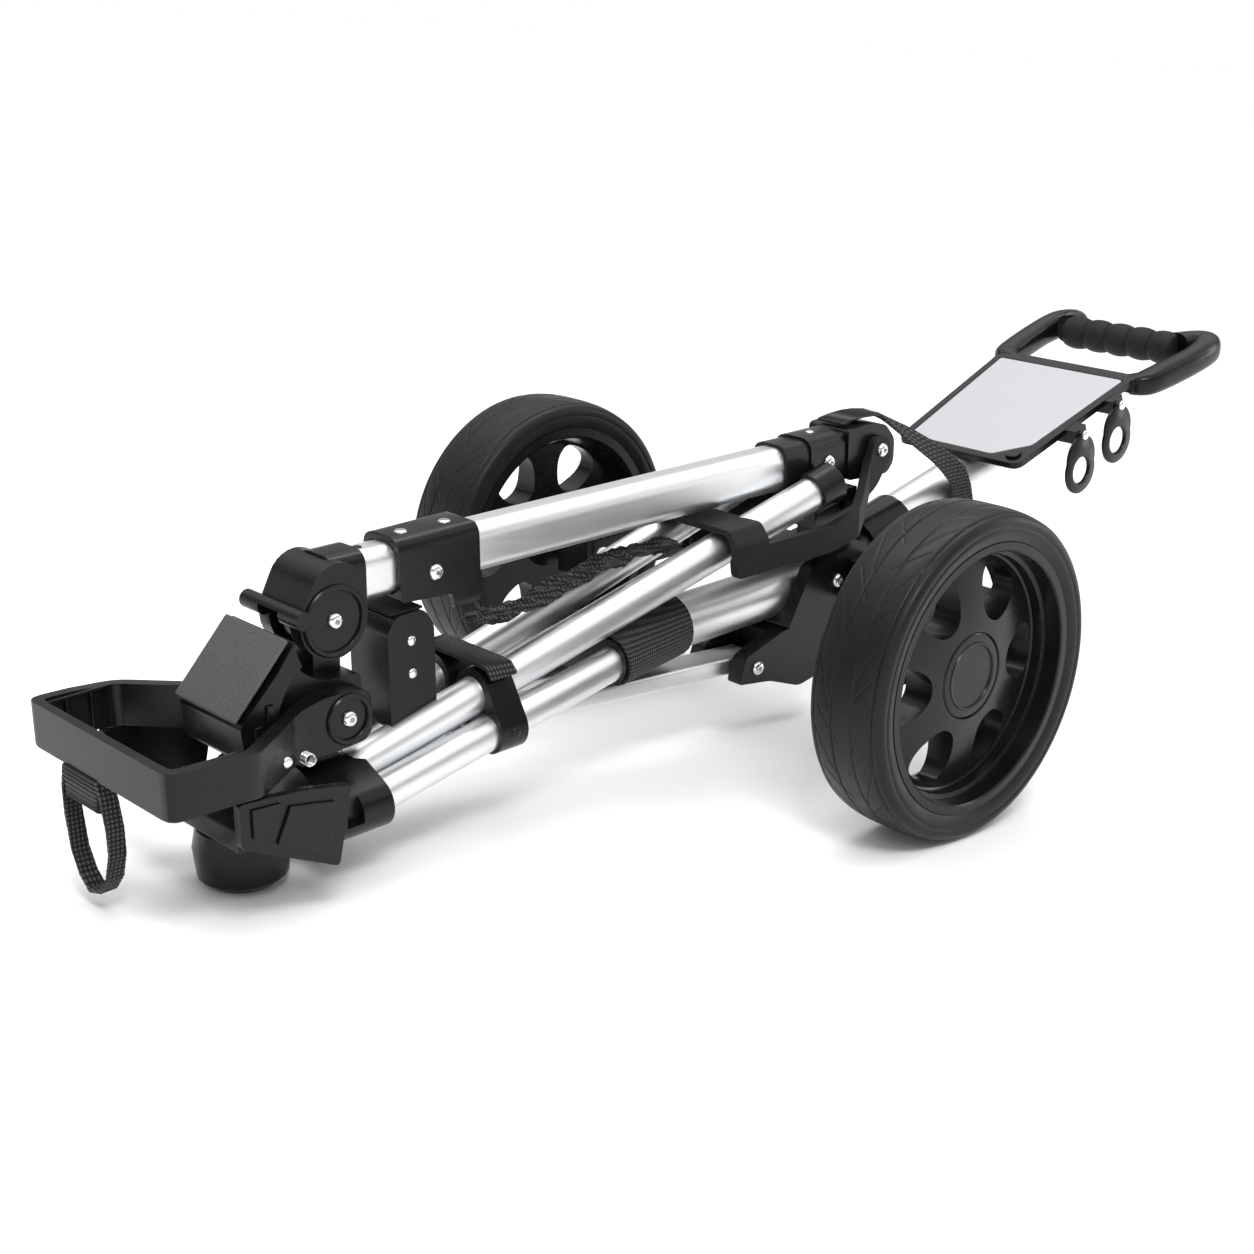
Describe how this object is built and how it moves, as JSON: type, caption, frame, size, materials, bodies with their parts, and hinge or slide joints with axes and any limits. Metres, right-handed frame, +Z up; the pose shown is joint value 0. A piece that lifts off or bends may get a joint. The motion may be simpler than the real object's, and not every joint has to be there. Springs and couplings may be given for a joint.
{
  "type": "golf pull cart",
  "caption": "Folded two-wheel golf pull cart with aluminium tubes, black moulded fittings, bag cradle, console, umbrella rings and a D-shaped handle, leaning on its stand foot.",
  "frame": {"origin": "On the floor, under the middle of the bounding box.", "axes": "+X along the cart from the bag cradle to the hand grip; +Y to the far side; +Z up."},
  "size_m": [1.1558, 0.521, 0.3183],
  "materials": {
    "satin_aluminium": "satin anodised, drawn along the tube",
    "black_plastic": "satin moulded black",
    "tyre_rubber": "matte moulded tread",
    "bright_steel": "bright plated",
    "black_webbing": "woven webbing",
    "soft_rubber": "matte soft-touch",
    "grey_plate": "satin grey",
    "grained_cover": "fine-grained dark grey"
  },
  "bodies": {
    "chassis": {"lower_tube": "satin_aluminium", "handle_shaft": "satin_aluminium", "stay_bar": "satin_aluminium", "leg_upper_near": "satin_aluminium", "leg_upper_far": "satin_aluminium", "leg_lower_near": "satin_aluminium", "leg_lower_far": "satin_aluminium", "elbow_sleeve": "black_plastic", "axle_block": "black_plastic", "axle_arm_near": "black_plastic", "axle_arm_far": "black_plastic", "axle_near": "bright_steel", "axle_far": "bright_steel", "stay_yoke": "black_plastic", "foot_block": "black_plastic", "leg_bracket": "black_plastic", "stand_foot": "black_plastic", "foot_rim": "bright_steel", "bracket_strap": "black_webbing", "junction": "black_plastic", "junction_band": "black_webbing", "tube_rest": "black_plastic", "leg_head": "black_plastic", "hub_block": "black_plastic", "hub_cover": "grained_cover", "console_frame": "black_plastic", "console_plate": "grey_plate", "handle_bow": "black_plastic", "grip": "soft_rubber", "bolt_block": "bright_steel", "bolt_stay": "bright_steel"},
    "wheel_near": {"tyre_near": "tyre_rubber", "rim_near": "black_plastic", "hub_cap_near": "black_plastic"},
    "wheel_far": {"tyre_far": "tyre_rubber", "rim_far": "black_plastic", "hub_cap_far": "black_plastic"},
    "upper_frame": {"upper_tube": "satin_aluminium", "elbow": "black_plastic", "clamp_sleeve": "black_plastic", "tube_sleeve": "black_plastic", "head_fitting": "black_plastic", "retaining_strap": "black_webbing", "bolt_a": "bright_steel", "bolt_clamp": "bright_steel", "bolt_sleeve": "bright_steel"},
    "bag_rest": {"rest_arm": "soft_rubber", "bolt_c": "bright_steel"},
    "cradle": {"cradle_frame": "black_plastic", "cradle_panel_near": "black_plastic", "cradle_panel_far": "black_plastic", "cradle_floor": "black_plastic", "loop_strap": "black_webbing", "bolt_b": "bright_steel"},
    "ring_front_body": {"ring_front": "black_plastic"},
    "ring_rear_body": {"ring_rear": "black_plastic"},
    "button": {"release_button": "black_plastic"}
  },
  "joints": [
    {"name": "spin_near", "type": "hinge", "parent": "chassis", "child": "wheel_near", "pos_m": [-0.00613, -0.2277, 0.12499], "axis": [0, 1, 0], "continuous": true},
    {"name": "spin_far", "type": "hinge", "parent": "chassis", "child": "wheel_far", "pos_m": [-0.00613, 0.2277, 0.12499], "axis": [0, 1, 0], "continuous": true},
    {"name": "unfold_upper", "type": "hinge", "parent": "chassis", "child": "upper_frame", "pos_m": [-0.41337, 0, 0.17961], "axis": [0, -1, 0], "range_deg": [0, 75]},
    {"name": "unfold_rest", "type": "hinge", "parent": "upper_frame", "child": "bag_rest", "pos_m": [0.13994, 0, 0.23626], "axis": [0, -1, 0], "range_deg": [0, 90]},
    {"name": "tilt_cradle", "type": "hinge", "parent": "chassis", "child": "cradle", "pos_m": [-0.41363, 0, 0.11641], "axis": [0, 1, 0], "range_deg": [0, 30]},
    {"name": "swing_ring_front", "type": "hinge", "parent": "chassis", "child": "ring_front_body", "pos_m": [0.35695, -0.0843, 0.23686], "axis": [0, 1, 0], "range_deg": [0, 80]},
    {"name": "swing_ring_rear", "type": "hinge", "parent": "chassis", "child": "ring_rear_body", "pos_m": [0.41061, -0.0843, 0.25887], "axis": [0, -1, 0], "range_deg": [0, 35]},
    {"name": "press_button", "type": "slide", "parent": "chassis", "child": "button", "axis": [0.3795, 0, -0.9252], "range_m": [0, 0.002]}
  ],
  "couplings": [
    {"joint": "unfold_rest", "follows": "unfold_upper", "ratio": 1.2}
  ]
}
